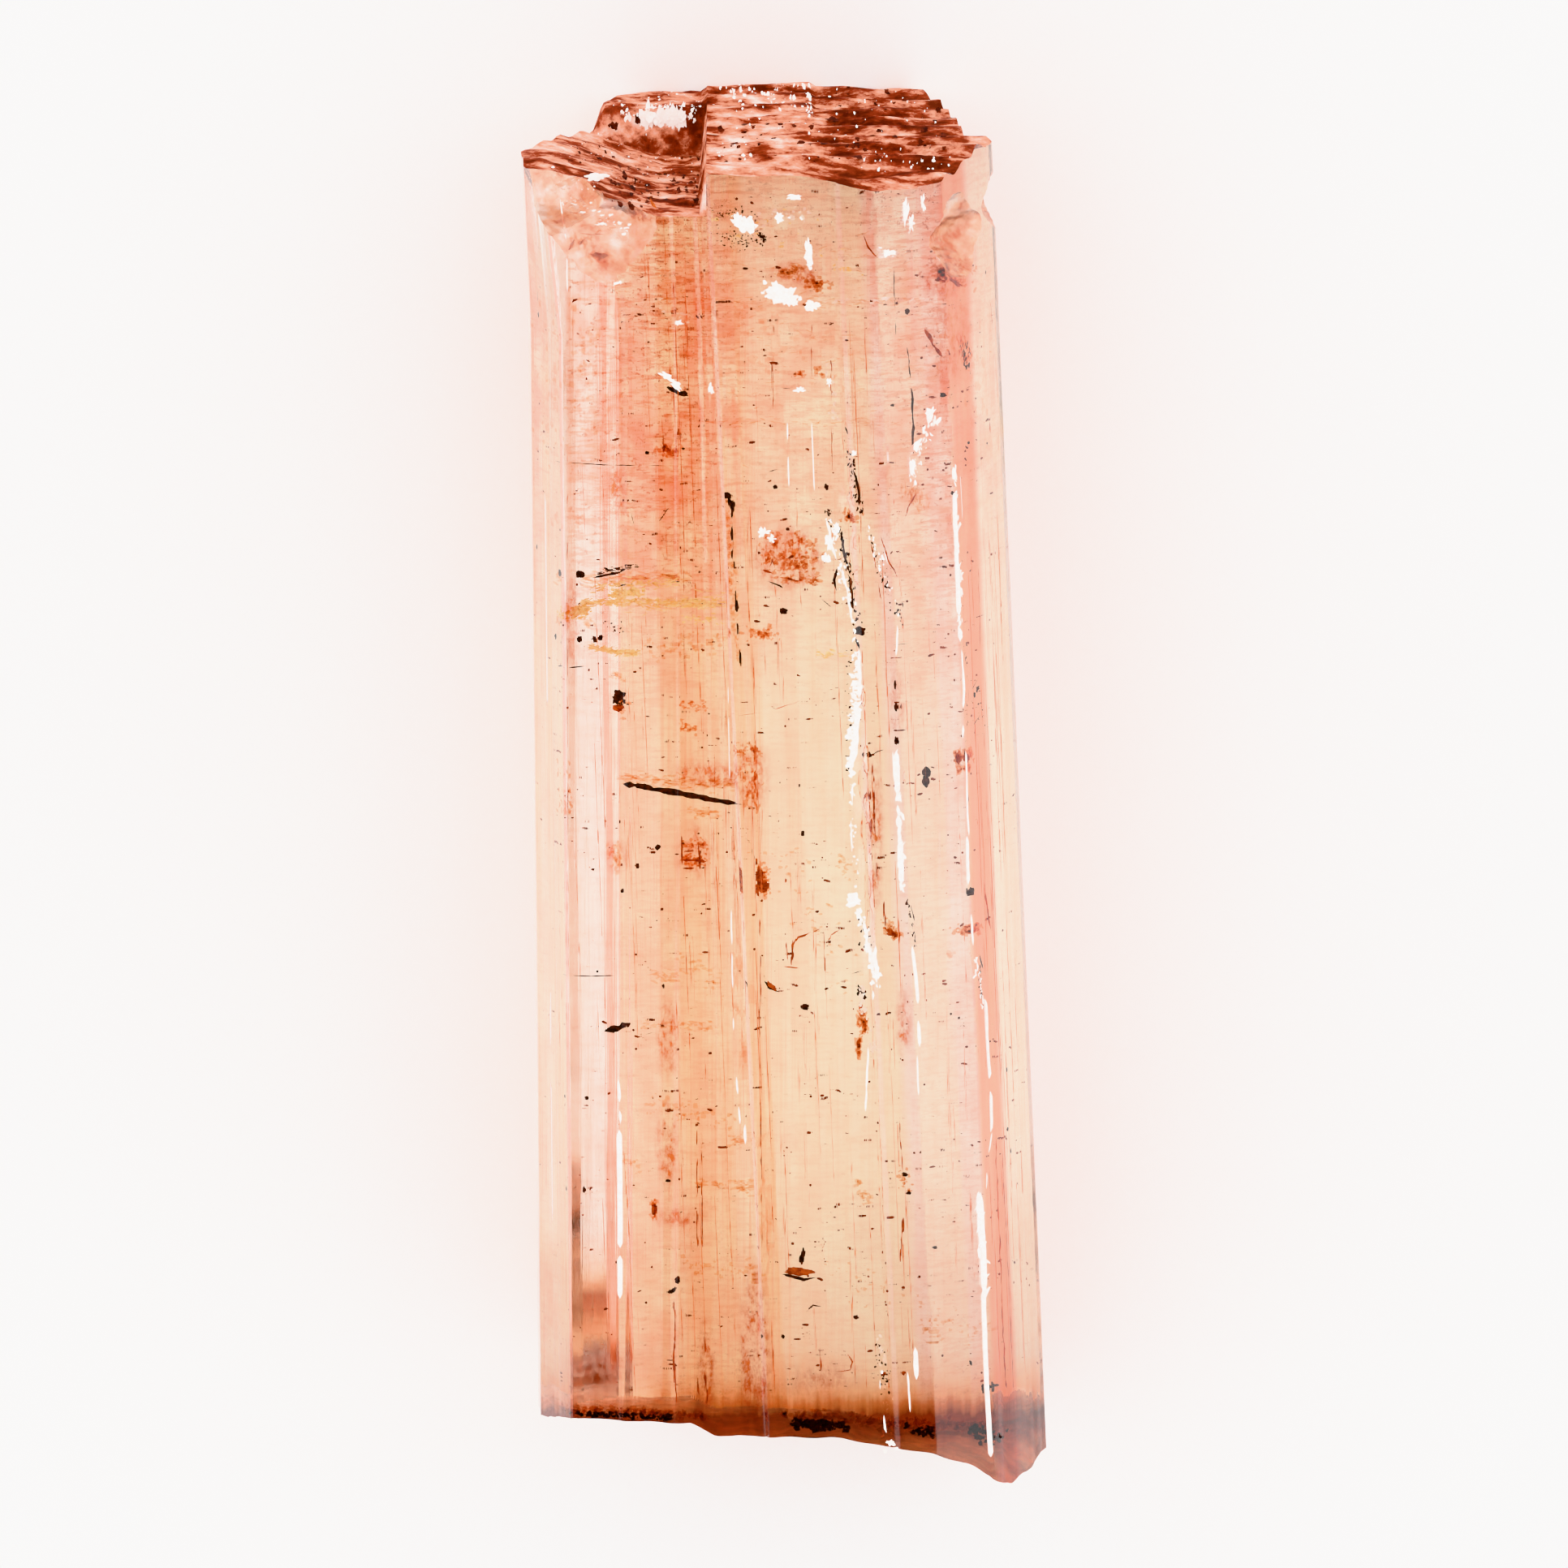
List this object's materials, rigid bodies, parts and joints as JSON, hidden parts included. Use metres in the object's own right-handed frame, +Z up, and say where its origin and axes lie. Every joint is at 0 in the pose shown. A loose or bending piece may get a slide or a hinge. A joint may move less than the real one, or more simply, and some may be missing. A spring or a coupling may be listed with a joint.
{
  "type": "imperial topaz crystal",
  "caption": "Striated prismatic crystal, clear orange-pink, with a stepped broken head and a slanting broken foot, lying on its back face.",
  "frame": {"origin": "middle of the footprint of the lying crystal, on the ground", "axes": "+Y along the prism towards its stepped head, +Z up through the broad front face, +X to the right of the picture"},
  "size_m": [0.0132, 0.035, 0.0086],
  "materials": {
    "topaz": "clear and glossy with fine striations along the prism; the broken ends are rough, rusty and dark red"
  },
  "bodies": {
    "root": {"crystal": "topaz"}
  },
  "joints": []
}
